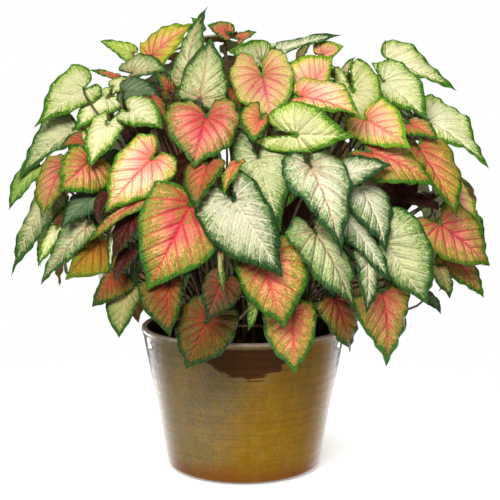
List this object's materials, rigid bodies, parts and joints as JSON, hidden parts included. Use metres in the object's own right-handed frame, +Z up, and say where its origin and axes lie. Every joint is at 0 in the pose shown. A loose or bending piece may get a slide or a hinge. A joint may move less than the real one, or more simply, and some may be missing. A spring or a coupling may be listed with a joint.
{
  "type": "potted caladium",
  "caption": "Bushy potted caladium: a dome of heart-shaped white and pink leaves on thin stalks, rising from soil in a round, tapered, glazed pot.",
  "frame": {"origin": "centre of the pot's flat foot, at the floor", "axes": "+Z up along the pot's axis, -Y towards the side that is shown in front, +X to the right of that view"},
  "size_m": [0.6836, 0.594, 0.662],
  "materials": {
    "glaze": "glossy",
    "soil": "matte",
    "white_leaf": "satin",
    "pink_leaf": "satin"
  },
  "bodies": {
    "root": {"pot": "glaze", "soil": "soil", "white_shoot_01": "white_leaf", "white_shoot_02": "white_leaf", "pink_shoot_03": "pink_leaf", "pink_shoot_04": "pink_leaf", "pink_shoot_05": "pink_leaf", "white_shoot_06": "white_leaf", "pink_shoot_07": "pink_leaf", "white_shoot_08": "white_leaf", "pink_shoot_09": "pink_leaf", "white_shoot_10": "white_leaf", "pink_shoot_11": "pink_leaf", "white_shoot_12": "white_leaf", "white_shoot_13": "white_leaf", "white_shoot_14": "white_leaf", "pink_shoot_15": "pink_leaf", "pink_shoot_16": "pink_leaf", "pink_shoot_17": "pink_leaf", "white_shoot_18": "white_leaf", "pink_shoot_19": "pink_leaf", "pink_shoot_20": "pink_leaf", "pink_shoot_21": "pink_leaf", "white_shoot_22": "white_leaf", "white_shoot_23": "white_leaf", "white_shoot_24": "white_leaf", "pink_shoot_25": "pink_leaf", "white_shoot_26": "white_leaf", "pink_shoot_27": "pink_leaf", "pink_shoot_28": "pink_leaf", "white_shoot_29": "white_leaf", "pink_shoot_30": "pink_leaf", "white_shoot_31": "white_leaf", "pink_shoot_32": "pink_leaf", "white_shoot_33": "white_leaf", "pink_shoot_34": "pink_leaf", "white_shoot_35": "white_leaf", "pink_shoot_36": "pink_leaf", "white_shoot_37": "white_leaf", "white_shoot_38": "white_leaf", "white_shoot_39": "white_leaf", "white_shoot_40": "white_leaf", "white_shoot_41": "white_leaf", "pink_shoot_42": "pink_leaf", "white_shoot_43": "white_leaf", "pink_shoot_44": "pink_leaf", "white_shoot_45": "white_leaf", "pink_shoot_46": "pink_leaf", "pink_shoot_47": "pink_leaf", "white_shoot_48": "white_leaf", "pink_shoot_49": "pink_leaf", "white_shoot_50": "white_leaf", "pink_shoot_51": "pink_leaf", "white_shoot_52": "white_leaf", "pink_shoot_53": "pink_leaf", "white_shoot_54": "white_leaf", "white_shoot_55": "white_leaf", "pink_shoot_56": "pink_leaf"}
  },
  "joints": []
}
